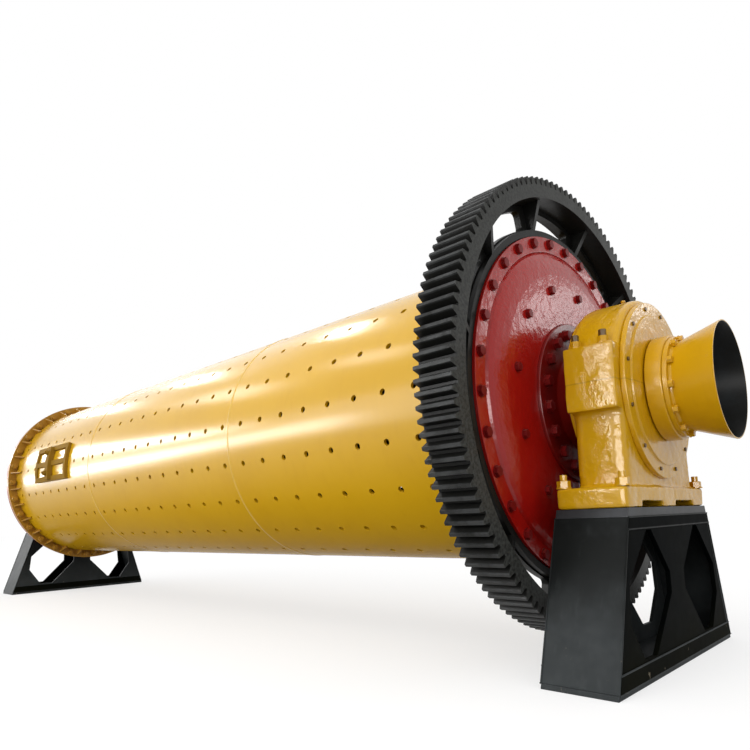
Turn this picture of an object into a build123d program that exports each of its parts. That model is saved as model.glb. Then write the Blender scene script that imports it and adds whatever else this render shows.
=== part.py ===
from build123d import *
import os
from math import acos, cos, degrees, pi, radians, sin, tan

os.makedirs("parts", exist_ok=True)

# Tube ball mill. X runs along the mill axis towards the geared end, Z is up,
# and the origin is on the floor below the middle of the mill.
# Sizes are in millimetres, angles in degrees about the mill axis from +Y towards +Z.

# Mill as a whole
chamber_length = 7000.0
gear_floor_clearance = 118.0

# Shell, in three cans with a bolting flange at each end
shell_inner_radius = 915.0
shell_plate = 22.0
middle_can_length = 2540.0
shell_flange_width = 93.0
shell_flange_thickness = 40.0
gusset_count = 30
gusset_phase = 7.4
gusset_length = 160.0
gusset_setback = 18.0
gusset_thickness = 14.0
gusset_nose = 15.0

# Liner bolt holes that are cut here, one row of every second hole
liner_hole_diameter = 42.0
liner_hole_pitch = 236.0
liner_hole_margin = 610.0
liner_hole_step = 2
liner_hole_count = 12
liner_row_angle = 193.3
liner_drill_reach = 40.0

# Manhole in the feed end can
manhole_from_feed_end = 1250.0
manhole_length = 900.0
manhole_arc = 24.0
manhole_angle = 174.0
manhole_frame_width = 55.0
manhole_frame_height = 34.0
manhole_seat = 30.0
manhole_cover_thickness = 14.0
manhole_cover_gap = 2.0
manhole_centre_bar_width = 100.0
manhole_long_bar_width = 55.0
manhole_bar_height = 20.0

# Girth gear, in two halves
gear_module = 20.0
gear_pressure_angle = 20.0
gear_face_width = 220.0
gear_face_in_front = 135.0
gear_rim_thickness = 74.0
gear_web_thickness = 40.0
gear_web_depth = 155.0
gear_hub_clearance = 4.0
gear_hub_width = 38.0
gear_hub_rise = 36.0
gear_window_inner_margin = 8.0
gear_window_outer_margin = 31.0
gear_window_side_margin = 75.0
gear_window_corner = 30.0
gear_rib_count = 12
gear_rib_thickness = 32.0
gear_rib_setback = 14.0
gear_joint_thickness = 78.0
gear_joint_angle = 15.9

# Heads
head_flange_step = 6.0
head_flange_thickness = 50.0
head_spigot_length = 30.0
head_spigot_clearance = 1.0
head_groove_offset = 16.0
head_groove_depth = 10.0
head_dish_radius = 723.0
head_dish_rise = 38.0
head_wall = 70.0
head_hollow_radius = 600.0

# Trunnions
journal_radius = 250.0
trunnion_wall = 60.0
trunnion_flange_radius = 480.0
trunnion_flange_thickness = 40.0
trunnion_flange_proud = 18.0
trunnion_recess_clearance = 1.0
trunnion_root_taper = 40.0
collar_wall = 35.0
collar_length = 83.0
collar_gap = 7.0

# Spout cones
cone_flange_setback = 13.0
cone_flange_thickness = 24.0
cone_neck_radius = 236.0
cone_mouth_radius = 311.0
cone_length = 226.0
cone_plate = 10.0

# Bearings
bearing_centre_offset = 412.0
bearing_centre_height = 638.0
bearing_clearance = 0.5
bush_wall = 50.0
barrel_radius = 512.0
barrel_corner = 25.0
housing_length = 264.0
housing_lower_width = 1000.0
housing_upper_width = 1100.0
housing_upper_depth = 145.0
cap_ledge_height = 190.0
housing_corner = 60.0
sole_inner_toe = 70.0
sole_outer_toe = 26.0
sole_side_toe = 50.0
sole_thickness = 105.0
sole_corner = 30.0
sole_notch_height = 30.0
sole_notch_inner = 100.0
sole_notch_outer = 390.0
cover_thickness = 28.0
cover_boss_setback = 71.0
cover_boss_thickness = 10.0
inner_cover_thickness = 20.0
seal_gap = 6.0

# Pedestals
pedestal_end_margin = 3.5
pedestal_top_setback = 8.0
pedestal_base_width = 1732.0
pedestal_end_plate = 25.0
pedestal_side_plate = 20.0
pedestal_top_plate = 45.0
pedestal_base_plate = 25.0
window_inner_edge = 110.0
window_neck_low = 380.0
window_neck_high = 485.0
window_bottom = 112.0
window_bottom_inner = 380.0
window_bottom_outer = 530.0
window_outer_low = 300.0
window_outer_high = 470.0
window_low_side_margin = 78.0
window_high_side_margin = 39.0
window_top_margin = 66.0
window_top_inner = 332.0
window_top_outer = 392.0

# Derived radii, from the shell outwards
shell_outer_radius = shell_inner_radius + shell_plate
shell_flange_radius = shell_outer_radius + shell_flange_width
head_flange_radius = shell_flange_radius - head_flange_step
head_groove_radius = shell_inner_radius + head_groove_offset
gear_hub_bore = head_flange_radius + gear_hub_clearance
gear_hub_radius = gear_hub_bore + gear_hub_width
gear_least_root = gear_hub_radius + gear_web_depth + gear_rim_thickness
gear_dedendum = 1.25 * gear_module
gear_teeth = round(2 * (gear_least_root + gear_dedendum) / gear_module)
gear_pitch_radius = gear_teeth * gear_module / 2
gear_tip_radius = gear_pitch_radius + gear_module
gear_root_radius = gear_pitch_radius - gear_dedendum
gear_rim_inner = gear_root_radius - gear_rim_thickness
gear_rim_middle = gear_root_radius - gear_rim_thickness / 2
gear_window_inner = gear_hub_radius + gear_window_inner_margin
gear_window_outer = gear_rim_inner - gear_window_outer_margin

# Derived radii and widths of the trunnions and bearings
trunnion_bore_radius = journal_radius - trunnion_wall
collar_radius = journal_radius + collar_wall
cone_flange_radius = collar_radius - cone_flange_setback
bush_inner_radius = journal_radius + bearing_clearance
bush_outer_radius = bush_inner_radius + bush_wall
cover_bore_radius = journal_radius + seal_gap
cover_radius = barrel_radius - barrel_corner
cover_boss_radius = cover_radius - cover_boss_setback
sole_length = housing_length + sole_inner_toe + sole_outer_toe
sole_width = housing_upper_width + 2 * sole_side_toe
pedestal_length = sole_length + 2 * pedestal_end_margin
pedestal_top_width = sole_width - 2 * pedestal_top_setback

# Derived heights above the floor
axis_height = gear_tip_radius + gear_floor_clearance
pedestal_height = axis_height - bearing_centre_height

# Derived places along the mill axis, at the drive end
head_back = chamber_length / 2
head_face = head_back + head_flange_thickness
head_dish_face = head_face + head_dish_rise
journal_start = head_dish_face + trunnion_flange_proud
trunnion_seat = journal_start - trunnion_flange_thickness
bearing_centre = head_back + bearing_centre_offset
barrel_back = bearing_centre - housing_length / 2
barrel_front = bearing_centre + housing_length / 2
sole_centre = bearing_centre + (sole_outer_toe - sole_inner_toe) / 2
cover_face = barrel_front + cover_thickness + cover_boss_thickness
collar_back = cover_face + collar_gap
collar_face = collar_back + collar_length
cone_start = collar_face + cone_flange_thickness
mouth = cone_start + cone_length
gear_front = head_back + gear_face_in_front
gear_back = gear_front - gear_face_width
drive_shell_end = head_back - gear_web_thickness
feed_shell_end = -head_back
manhole_centre = feed_shell_end + manhole_from_feed_end

mill_axis = Axis((0, 0, 0), (1, 0, 0))


def write(node, solid):
    """Lift a piece that was drawn about the mill axis and write its file."""
    export_step(Pos(0, 0, axis_height) * solid, f"parts/{node}.step")


def write_on_floor(node, solid):
    """Write a piece that was drawn with its heights from the floor."""
    export_step(solid, f"parts/{node}.step")


def turned(*points):
    """Turn a closed outline of (x, radius) points about the mill axis."""
    outline = Polyline(*[(x, 0, r) for x, r in points], close=True)
    return revolve(make_face(outline), axis=mill_axis, revolution_arc=360)


def ring(x0, x1, inner, outer):
    """A plain ring about the mill axis."""
    return turned((x0, inner), (x1, inner), (x1, outer), (x0, outer))


def core(x0, x1, radius):
    """A solid round about the mill axis, for boring holes."""
    return turned((x0, 0), (x1, 0), (x1, radius), (x0, radius))


def patch(x0, x1, inner, outer, angle, arc):
    """A piece of a ring, arc degrees wide, centred on an angle from +Y."""
    outline = Polyline((x0, inner, 0), (x1, inner, 0), (x1, outer, 0), (x0, outer, 0), close=True)
    solid = revolve(make_face(outline), axis=mill_axis, revolution_arc=arc)
    return Rot(angle - arc / 2, 0, 0) * solid


def both_ends(name, solid, lift=write):
    """Write a piece at the drive end, and its mirror image at the feed end."""
    lift(f"drive_{name}", solid)
    lift(f"feed_{name}", mirror(solid, about=Plane.YZ))


# Shell

def liner_holes():
    """The drills for the row of liner bolt holes."""
    reach = 2 * liner_drill_reach + shell_plate
    drill = Pos(0, shell_outer_radius, 0) * Rot(90, 0, 0) * Cylinder(liner_hole_diameter / 2, reach)
    row = []
    for k in range(liner_hole_count):
        x = drive_shell_end - liner_hole_margin - k * liner_hole_step * liner_hole_pitch
        row.append(Pos(x, 0, 0) * Rot(liner_row_angle, 0, 0) * drill)
    return row


def can(x0, x1, drills):
    """One rolled can with the liner bolt holes that fall on it."""
    solid = ring(x0, x1, shell_inner_radius, shell_outer_radius)
    for drill in drills:
        solid -= drill
    return solid


def manhole_opening():
    """The oblong hole through the feed end can."""
    half = manhole_length / 2 - manhole_frame_width - manhole_seat
    shrink = degrees((manhole_frame_width + manhole_seat) / shell_outer_radius)
    x0 = manhole_centre - half
    x1 = manhole_centre + half
    inner = shell_inner_radius - shell_plate
    outer = shell_outer_radius + shell_plate
    return patch(x0, x1, inner, outer, manhole_angle, manhole_arc - 2 * shrink)


def shell_cans():
    """Three cans that meet at two welded seams."""
    half = middle_can_length / 2
    drills = liner_holes()
    write("feed_shell_can", can(feed_shell_end, -half, drills) - manhole_opening())
    write("middle_shell_can", can(-half, half, drills))
    write("drive_shell_can", can(half, drive_shell_end, drills))


def shell_flange():
    """A bolting flange at x = 0 with gussets towards -X, down to the shell."""
    root = shell_outer_radius
    blank = root - shell_plate
    top = shell_flange_radius - gusset_setback
    x0 = -shell_flange_thickness
    flange = ring(x0, 0, blank, shell_flange_radius)
    outline = Polyline(
        (x0 / 2, blank, 0),
        (x0 / 2, top, 0),
        (x0 - gusset_nose, top, 0),
        (x0 - gusset_length, root + gusset_nose, 0),
        (x0 - gusset_length, blank, 0),
        close=True,
    )
    gusset = extrude(make_face(outline), gusset_thickness / 2, both=True)
    for k in range(gusset_count):
        flange += Rot(gusset_phase + k * 360 / gusset_count, 0, 0) * gusset
    return flange - core(x0 - 2 * gusset_length, -x0, root)


def shell_flanges():
    """The same flange welded to both ends of the shell."""
    flange = shell_flange()
    write("drive_shell_flange", Pos(drive_shell_end, 0, 0) * flange)
    write("feed_shell_flange", Pos(feed_shell_end, 0, 0) * mirror(flange, about=Plane.YZ))


# Manhole

def manhole():
    """The frame, cover and cross bars of the manhole, curved to the shell."""
    x0 = manhole_centre - manhole_length / 2
    x1 = manhole_centre + manhole_length / 2
    base = shell_outer_radius
    border = degrees(manhole_frame_width / base)
    frame = patch(x0, x1, base, base + manhole_frame_height, manhole_angle, manhole_arc)
    inside_x0 = x0 + manhole_frame_width
    inside_x1 = x1 - manhole_frame_width
    inside_arc = manhole_arc - 2 * border
    below = base - manhole_frame_height
    above = base + 2 * manhole_frame_height
    frame -= patch(inside_x0, inside_x1, below, above, manhole_angle, inside_arc)
    write("manhole_frame", frame)

    gap = manhole_cover_gap
    arc = inside_arc - degrees(2 * gap / base)
    cover_top = base + manhole_cover_thickness
    write("manhole_cover", patch(inside_x0 + gap, inside_x1 - gap, base, cover_top, manhole_angle, arc))

    bar_top = cover_top + manhole_bar_height
    half = manhole_centre_bar_width / 2
    across = patch(manhole_centre - half, manhole_centre + half, cover_top, bar_top, manhole_angle, arc)
    bar_arc = degrees(manhole_long_bar_width / base)
    along = patch(inside_x0 + gap, inside_x1 - gap, cover_top, bar_top, manhole_angle, bar_arc)
    write("manhole_cross_bars", across + along)


# Girth gear

def involute(angle):
    """The involute function of an angle in radians."""
    return tan(angle) - angle


def tooth_half_angle(radius):
    """Half the angle that a tooth spans at a radius, in radians."""
    base_radius = gear_pitch_radius * cos(radians(gear_pressure_angle))
    at_pitch = pi / (2 * gear_teeth)
    return at_pitch + involute(radians(gear_pressure_angle)) - involute(acos(base_radius / radius))


def gear_rim():
    """The toothed rim: straight involute teeth round a bored ring."""
    radii = (gear_root_radius, gear_pitch_radius, gear_tip_radius)
    first = radians(gear_joint_angle) + pi / gear_teeth
    points = []
    for tooth in range(gear_teeth):
        middle = first + 2 * pi * tooth / gear_teeth
        for r in radii:
            angle = middle - tooth_half_angle(r)
            points.append((r * cos(angle), r * sin(angle)))
        for r in reversed(radii):
            angle = middle + tooth_half_angle(r)
            points.append((r * cos(angle), r * sin(angle)))
    outline = make_face(Polyline(*points, close=True)) - Circle(gear_rim_inner)
    return extrude(Plane.YZ.offset(gear_back) * outline, gear_face_width)


def gear_window():
    """One rounded window in the web, centred on the +Y axis."""
    pitch_angle = radians(360 / gear_rib_count)
    a_in = pitch_angle / 2 - gear_window_side_margin / gear_window_inner
    a_out = pitch_angle / 2 - gear_window_side_margin / gear_window_outer
    inner = [(gear_window_inner * cos(a), gear_window_inner * sin(a)) for a in (-a_in, 0, a_in)]
    outer = [(gear_window_outer * cos(a), gear_window_outer * sin(a)) for a in (a_out, 0, -a_out)]
    edges = ThreePointArc(*inner) + Line(inner[2], outer[0]) + ThreePointArc(*outer) + Line(outer[2], inner[0])
    face = make_face(edges)
    return fillet(face.vertices(), gear_window_corner)


def gear_web():
    """The flat web with its ring of windows, from the shell bore to the rim."""
    disc = Circle(gear_rim_middle) - Circle(shell_inner_radius)
    half_pitch = 180 / gear_rib_count
    window = gear_window()
    for k in range(gear_rib_count):
        disc -= Rot(0, 0, gear_joint_angle + half_pitch + k * 2 * half_pitch) * window
    return extrude(Plane.YZ.offset(drive_shell_end) * disc, gear_web_thickness)


def gear_rib(thickness):
    """One radial rib, tapered in front of the web and behind it, on the +Y axis."""
    hub = gear_hub_radius - gear_hub_width / 2
    outline = Polyline(
        (drive_shell_end, hub, 0),
        (head_back + gear_hub_rise, hub, 0),
        (head_back + gear_hub_rise, gear_hub_radius, 0),
        (gear_front - gear_rib_setback, gear_rim_middle, 0),
        (gear_back + gear_rib_setback, gear_rim_middle, 0),
        (drive_shell_end, gear_hub_radius, 0),
        close=True,
    )
    return extrude(make_face(outline), thickness / 2, both=True)


def girth_gear():
    """The whole gear, parted through two opposite joint ribs."""
    hub = ring(drive_shell_end, head_back + gear_hub_rise, gear_hub_bore, gear_hub_radius)
    gear = gear_rim() + gear_web() + hub
    for k in range(gear_rib_count):
        on_joint = k % (gear_rib_count // 2) == 0
        thickness = gear_joint_thickness if on_joint else gear_rib_thickness
        gear += Rot(gear_joint_angle + k * 360 / gear_rib_count, 0, 0) * gear_rib(thickness)
    parting = Plane.XY.rotated((gear_joint_angle, 0, 0))
    write("girth_gear_half_a", split(gear, parting, keep=Keep.TOP))
    write("girth_gear_half_b", split(gear, parting, keep=Keep.BOTTOM))


# Heads and trunnions

def head():
    """A dished cast head: a bolting flange, a spigot in the shell and a recess for the trunnion."""
    spigot = shell_inner_radius - head_spigot_clearance
    recess = trunnion_flange_radius + trunnion_recess_clearance
    back = head_back - head_spigot_length
    return turned(
        (back, spigot),
        (head_back, spigot),
        (head_back, head_flange_radius),
        (head_face, head_flange_radius),
        (head_face, head_groove_radius),
        (head_face - head_groove_depth, head_groove_radius),
        (head_dish_face, head_dish_radius),
        (head_dish_face, recess),
        (trunnion_seat, recess),
        (trunnion_seat, trunnion_bore_radius),
        (trunnion_seat - head_wall, trunnion_bore_radius),
        (trunnion_seat - head_wall, head_hollow_radius),
        (back, spigot - head_wall),
    )


def trunnion():
    """A hollow trunnion: its flange on the head, and the journal in the bearing."""
    return turned(
        (trunnion_seat, trunnion_bore_radius),
        (collar_face, trunnion_bore_radius),
        (collar_face, journal_radius),
        (journal_start + trunnion_root_taper, journal_radius),
        (journal_start, journal_radius + trunnion_root_taper),
        (journal_start, trunnion_flange_radius),
        (trunnion_seat, trunnion_flange_radius),
    )


def cone():
    """A flared spout of rolled plate on a bolted flange."""
    return turned(
        (collar_face, cone_neck_radius - cone_plate),
        (cone_start, cone_neck_radius - cone_plate),
        (mouth, cone_mouth_radius - cone_plate),
        (mouth, cone_mouth_radius),
        (cone_start, cone_neck_radius),
        (cone_start, cone_flange_radius),
        (collar_face, cone_flange_radius),
    )


def drum_ends():
    """Head, trunnion, collar and spout cone, the same at both ends."""
    both_ends("head", head())
    both_ends("trunnion", trunnion())
    both_ends("trunnion_collar", ring(collar_back, collar_face, journal_radius, collar_radius))
    both_ends("spout_cone", cone())


# Bearings

def block(middle, length, width, z0, z1, corner=0.0):
    """A block across the bearing between two heights, with rounded upright corners."""
    solid = Pos(middle, 0, (z0 + z1) / 2) * Box(length, width, z1 - z0)
    if corner:
        solid = fillet(solid.edges().filter_by(Axis.Z), corner)
    return solid


def bearing_bore():
    """The hole that the bush sits in."""
    return core(barrel_back - housing_length, barrel_front + housing_length, bush_outer_radius)


def bearing_barrel(z0, z1):
    """The round of the housing between two heights, with rounded rims."""
    barrel = core(barrel_back, barrel_front, barrel_radius)
    barrel = fillet(barrel.edges().filter_by(GeomType.CIRCLE), barrel_corner)
    return barrel & block(bearing_centre, 2 * sole_length, 2 * sole_width, z0, z1)


def bearing_base():
    """The lower housing with its notched sole."""
    sole_bottom = -bearing_centre_height
    sole_top = sole_bottom + sole_thickness
    sole = block(sole_centre, sole_length, sole_width, sole_bottom, sole_top, sole_corner)
    notch_width = sole_notch_outer - sole_notch_inner
    notch = block(sole_centre, 2 * sole_length, notch_width, sole_bottom, sole_bottom + sole_notch_height)
    notch_middle = (sole_notch_outer + sole_notch_inner) / 2
    sole -= Pos(0, notch_middle, 0) * notch
    sole -= Pos(0, -notch_middle, 0) * notch
    step = -housing_upper_depth
    lower = block(bearing_centre, housing_length, housing_lower_width, sole_top, step, housing_corner)
    upper = block(bearing_centre, housing_length, housing_upper_width, step, 0, housing_corner)
    return sole + lower + upper + bearing_barrel(sole_top, 0) - bearing_bore()


def bearing_cap():
    """The upper housing: bolting ledges beside a round dome."""
    ledge = block(bearing_centre, housing_length, housing_upper_width, 0, cap_ledge_height, housing_corner)
    return ledge + bearing_barrel(0, 2 * barrel_radius) - bearing_bore()


def bearing_outer_cover():
    """A round end cover with a raised boss, clear of the journal."""
    step = barrel_front + cover_thickness
    return turned(
        (barrel_front, cover_bore_radius),
        (cover_face, cover_bore_radius),
        (cover_face, cover_boss_radius),
        (step, cover_boss_radius),
        (step, cover_radius),
        (barrel_front, cover_radius),
    )


def bearings():
    """Housing, bush and end covers, the same at both ends."""
    both_ends("bearing_base", bearing_base())
    both_ends("bearing_cap", bearing_cap())
    both_ends("bearing_bush", ring(barrel_back, barrel_front, bush_inner_radius, bush_outer_radius))
    both_ends("bearing_outer_cover", bearing_outer_cover())
    inner_face = barrel_back - inner_cover_thickness
    both_ends("bearing_inner_cover", ring(inner_face, barrel_back, cover_bore_radius, cover_radius))


# Pedestals

def side_at(z):
    """Half the pedestal's outer width at a height above the floor."""
    slope = (pedestal_base_width - pedestal_top_width) / 2 / pedestal_height
    return pedestal_base_width / 2 - slope * z


def pedestal_section(points, x0, x1):
    """Extrude an outline of (y, z) points from x0 to x1."""
    outline = Polyline(*[(x0, y, z) for y, z in points], close=True)
    return extrude(make_face(outline), x1 - x0, dir=(1, 0, 0))


def pedestal_windows():
    """The outlines of the two six-sided windows, which leave a narrow neck between them."""
    window = [
        (window_top_inner, pedestal_height - pedestal_top_plate - window_top_margin),
        (window_inner_edge, window_neck_high),
        (window_inner_edge, window_neck_low),
        (window_bottom_inner, window_bottom),
        (window_bottom_outer, window_bottom),
        (side_at(window_outer_low) - pedestal_side_plate - window_low_side_margin, window_outer_low),
        (side_at(window_outer_high) - pedestal_side_plate - window_high_side_margin, window_outer_high),
        (window_top_outer, pedestal_height - pedestal_top_plate - window_top_margin),
    ]
    return window, [(-y, z) for y, z in window]


def pedestals():
    """A welded box of six plates under each bearing, its end plates cut with windows."""
    x0 = sole_centre - pedestal_length / 2
    x1 = sole_centre + pedestal_length / 2
    low = pedestal_base_plate
    high = pedestal_height - pedestal_top_plate
    slope = (pedestal_base_width - pedestal_top_width) / 2 / pedestal_height
    side = pedestal_side_plate * (1 + slope ** 2) ** 0.5
    end = [
        (-side_at(low) + side, low),
        (side_at(low) - side, low),
        (side_at(high) - side, high),
        (-side_at(high) + side, high),
    ]
    plate = pedestal_section(end, x0, x0 + pedestal_end_plate)
    for window in pedestal_windows():
        plate -= pedestal_section(window, x0 - pedestal_end_plate, x0 + 2 * pedestal_end_plate)
    both_ends("pedestal_inner_plate", plate, write_on_floor)
    shift = pedestal_length - pedestal_end_plate
    both_ends("pedestal_outer_plate", Pos(shift, 0, 0) * plate, write_on_floor)

    left = [
        (-side_at(low), low),
        (-side_at(low) + side, low),
        (-side_at(high) + side, high),
        (-side_at(high), high),
    ]
    wall = pedestal_section(left, x0, x1)
    both_ends("pedestal_left_side", wall, write_on_floor)
    both_ends("pedestal_right_side", mirror(wall, about=Plane.XZ), write_on_floor)

    top = [
        (-side_at(high), high),
        (side_at(high), high),
        (side_at(pedestal_height), pedestal_height),
        (-side_at(pedestal_height), pedestal_height),
    ]
    both_ends("pedestal_top_plate", pedestal_section(top, x0, x1), write_on_floor)
    foot = [(-side_at(0), 0), (side_at(0), 0), (side_at(low), low), (-side_at(low), low)]
    both_ends("pedestal_base_plate", pedestal_section(foot, x0, x1), write_on_floor)


shell_cans()
shell_flanges()
manhole()
girth_gear()
drum_ends()
bearings()
pedestals()
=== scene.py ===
"""The looks of a tube ball mill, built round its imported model.

The mill lies along X with its geared end towards +X, and its axis is level. Every length
is in metres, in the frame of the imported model, whose origin is on the floor below the
middle of the mill. Angles round the mill axis run from +Y towards +Z.
"""
import logging
import math
import random
from collections.abc import Callable, Iterable, Sequence
from dataclasses import dataclass
from enum import Enum

import bmesh
import bpy
from mathutils import Euler, Matrix, Vector, noise


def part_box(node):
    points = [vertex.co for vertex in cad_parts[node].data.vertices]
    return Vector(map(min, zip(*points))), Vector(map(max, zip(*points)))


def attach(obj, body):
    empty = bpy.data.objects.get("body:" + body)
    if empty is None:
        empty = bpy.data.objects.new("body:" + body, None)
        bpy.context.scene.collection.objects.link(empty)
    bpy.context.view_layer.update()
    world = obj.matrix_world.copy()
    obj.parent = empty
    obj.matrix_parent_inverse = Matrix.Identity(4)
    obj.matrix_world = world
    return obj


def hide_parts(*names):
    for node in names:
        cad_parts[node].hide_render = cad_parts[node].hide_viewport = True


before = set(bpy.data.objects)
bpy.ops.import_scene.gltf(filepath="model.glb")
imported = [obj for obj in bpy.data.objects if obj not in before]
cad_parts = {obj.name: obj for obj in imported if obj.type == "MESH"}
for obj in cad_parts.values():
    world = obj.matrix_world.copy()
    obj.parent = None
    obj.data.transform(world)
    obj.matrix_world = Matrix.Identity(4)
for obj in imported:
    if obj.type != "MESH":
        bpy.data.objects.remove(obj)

log = logging.getLogger("mill")

Colour = tuple[float, float, float]
Profile = Sequence[tuple[float, float]]

FULL_TURN = 2 * math.pi
X_AXIS = Vector((1, 0, 0))
MERGE_DISTANCE = 1e-5
FLAT_ANGLE = math.radians(0.6)
SHARP_ANGLE = math.radians(32)
MANHOLE_X = -2.25
MANHOLE_TURN = 174.0
CAST_WAVES = ((9.0, 1.0), (23.0, 0.5), (47.0, 0.25))


class Body(Enum):
    """The two bodies of the mill: what stands still and what turns."""

    SUPPORTS = "supports"
    DRUM = "drum"


class End(Enum):
    """The two ends of the mill, each with its sign along X."""

    DRIVE = 1
    FEED = -1

    def named(self, word: str) -> str:
        """A name that starts with the end's word."""
        return f"{self.name.lower()}_{word}"


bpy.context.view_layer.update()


@dataclass(frozen=True)
class Datum:
    """Places that the whole mill shares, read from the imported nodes."""

    height: float
    shell_radius: float
    feed_shell_end: float
    drive_shell_end: float
    seam_x: float

    @classmethod
    def read(cls) -> "Datum":
        """Read the places from the boxes of the shell cans.

        Returns:
            The places.
        """
        low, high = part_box("middle_shell_can")
        feed_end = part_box("feed_shell_can")[0].x
        drive_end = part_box("drive_shell_can")[1].x
        return cls((low.z + high.z) / 2, (high.z - low.z) / 2, feed_end, drive_end, high.x)

    @property
    def centre(self) -> Vector:
        """A point on the mill axis."""
        return Vector((0, 0, self.height))

    @property
    def head_back(self) -> float:
        """How far the back of each head's flange is from the middle of the mill."""
        return -self.feed_shell_end

    def outward(self, point: Vector) -> Vector:
        """The direction from the mill axis to a point."""
        return Vector((0, point.y, point.z - self.height)).normalized()


MILL = Datum.read()


class Wire:
    """A shader socket that takes part in Python expressions."""

    def __init__(self, graph: "Graph", socket: bpy.types.NodeSocket) -> None:
        """Remember the graph and the socket."""
        self.graph = graph
        self.socket = socket

    def __add__(self, other: "Wire | float") -> "Wire":
        """Add."""
        return self.graph.math("ADD", self, other)

    def __sub__(self, other: "Wire | float") -> "Wire":
        """Take away."""
        return self.graph.math("SUBTRACT", self, other)

    def __rsub__(self, other: float) -> "Wire":
        """Take this from a number."""
        return self.graph.math("SUBTRACT", other, self)

    def __mul__(self, other: "Wire | float") -> "Wire":
        """Multiply."""
        return self.graph.math("MULTIPLY", self, other)

    def __pow__(self, other: float) -> "Wire":
        """Raise to a power."""
        return self.graph.math("POWER", self, other)

    __radd__ = __add__

    def between(self, low: float, high: float) -> "Wire":
        """Rise smoothly from 0 at low to 1 at high; high may be the smaller number.

        Args:
            low: The value that gives 0.
            high: The value that gives 1.

        Returns:
            The stepped value, from 0 to 1.
        """
        inputs = {"Value": self, "From Min": min(low, high), "From Max": max(low, high)}
        rise = self.graph.wire("ShaderNodeMapRange", {"interpolation_type": "SMOOTHSTEP"}, inputs)
        return rise if low < high else 1 - rise

    def least(self, other: "Wire | float") -> "Wire":
        """The smaller of the two."""
        return self.graph.math("MINIMUM", self, other)

    def most(self, other: "Wire | float") -> "Wire":
        """The larger of the two."""
        return self.graph.math("MAXIMUM", self, other)


class Graph:
    """The node tree of one material or world."""

    def __init__(self, owner: bpy.types.Material | bpy.types.World) -> None:
        """Start an empty tree.

        Args:
            owner: The material or world.
        """
        owner.use_nodes = True
        self.owner = owner
        self.tree = owner.node_tree
        self.tree.nodes.clear()

    @classmethod
    def of_material(cls, name: str) -> "Graph":
        """The empty tree of a new material."""
        return cls(bpy.data.materials.new(name))

    def node(self, kind: str, settings: dict | None = None, inputs: dict | None = None) -> bpy.types.Node:
        """Add one node.

        Args:
            kind: The node's type.
            settings: Its properties.
            inputs: The values, colours or wires of its sockets, by name or index.

        Returns:
            The node.
        """
        made = self.tree.nodes.new(kind)
        for key, value in (settings or {}).items():
            setattr(made, key, value)
        for key, value in (inputs or {}).items():
            socket = made.inputs[key]
            if isinstance(value, Wire):
                self.tree.links.new(value.socket, socket)
            else:
                socket.default_value = (*value, 1.0) if socket.type == "RGBA" else value
        return made

    def wire(
        self, kind: str, settings: dict | None = None, inputs: dict | None = None, output: int | str = 0
    ) -> Wire:
        """Add one node and take one of its outputs."""
        return Wire(self, self.node(kind, settings, inputs).outputs[output])

    def math(self, operation: str, *values: "Wire | float") -> Wire:
        """Add a Math node."""
        return self.wire("ShaderNodeMath", {"operation": operation}, dict(enumerate(values)))

    def place(self) -> Wire:
        """The point on the piece, in the mill's frame."""
        return self.wire("ShaderNodeTexCoord", output="Object")

    def parts(self, vector: Wire) -> list[Wire]:
        """Split a vector into its three numbers."""
        made = self.node("ShaderNodeSeparateXYZ", None, {0: vector})
        return [Wire(self, output) for output in made.outputs]

    def squeezed(self, scale: tuple[float, float, float]) -> Wire:
        """The point on the piece with each of its numbers scaled."""
        inputs = {"Vector": self.place(), "Scale": scale}
        return self.wire("ShaderNodeMapping", {"vector_type": "POINT"}, inputs)

    def noise(self, scale: float, detail: float, roughness: float, where: Wire | None = None) -> Wire:
        """Soft noise from 0 to 1.

        Args:
            scale: How many waves there are in a metre.
            detail: How many finer layers are added.
            roughness: How strong the finer layers are.
            where: The point to read it at, which is the point on the piece by default.

        Returns:
            The noise's value.
        """
        inputs = {"Vector": where or self.place(), "Scale": scale, "Detail": detail, "Roughness": roughness}
        return self.wire("ShaderNodeTexNoise", None, inputs, "Fac")

    def axis_radius(self) -> Wire:
        """How far the point on the piece is from the mill axis."""
        _, across, up = self.parts(self.place())
        return (across * across + (up - MILL.height) ** 2) ** 0.5

    def upward(self) -> Wire:
        """How far the surface faces up, from -1 to 1."""
        return self.parts(self.wire("ShaderNodeNewGeometry", output="Normal"))[2]

    def blend(self, amount: "Wire | float", base: "Wire | Colour", over: "Wire | Colour") -> Wire:
        """Mix two colours.

        Args:
            amount: How much of the second colour shows, from 0 to 1.
            base: The first colour.
            over: The second colour.

        Returns:
            The mixed colour.
        """
        settings = {"data_type": "RGBA", "clamp_factor": True}
        return self.wire("ShaderNodeMix", settings, {0: amount, 6: base, 7: over}, 2)

    def bump(self, height: Wire, distance: float, strength: float = 1.0, over: Wire | None = None) -> Wire:
        """Turn a height from 0 to 1 into a normal.

        Args:
            height: The height, from 0 to 1.
            distance: How many metres a height of 1 stands for.
            strength: How much of it shows.
            over: A normal to add it to.

        Returns:
            The normal.
        """
        inputs = {"Height": height, "Distance": distance, "Strength": strength}
        if over is not None:
            inputs["Normal"] = over
        return self.wire("ShaderNodeBump", None, inputs)

    def surface(self, inputs: dict) -> bpy.types.Material:
        """Close the graph with a Principled shader.

        Args:
            inputs: The values or wires of the shader's sockets.

        Returns:
            The finished material.
        """
        shader = self.wire("ShaderNodeBsdfPrincipled", None, inputs)
        self.node("ShaderNodeOutputMaterial", None, {"Surface": shader})
        return self.owner


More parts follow.
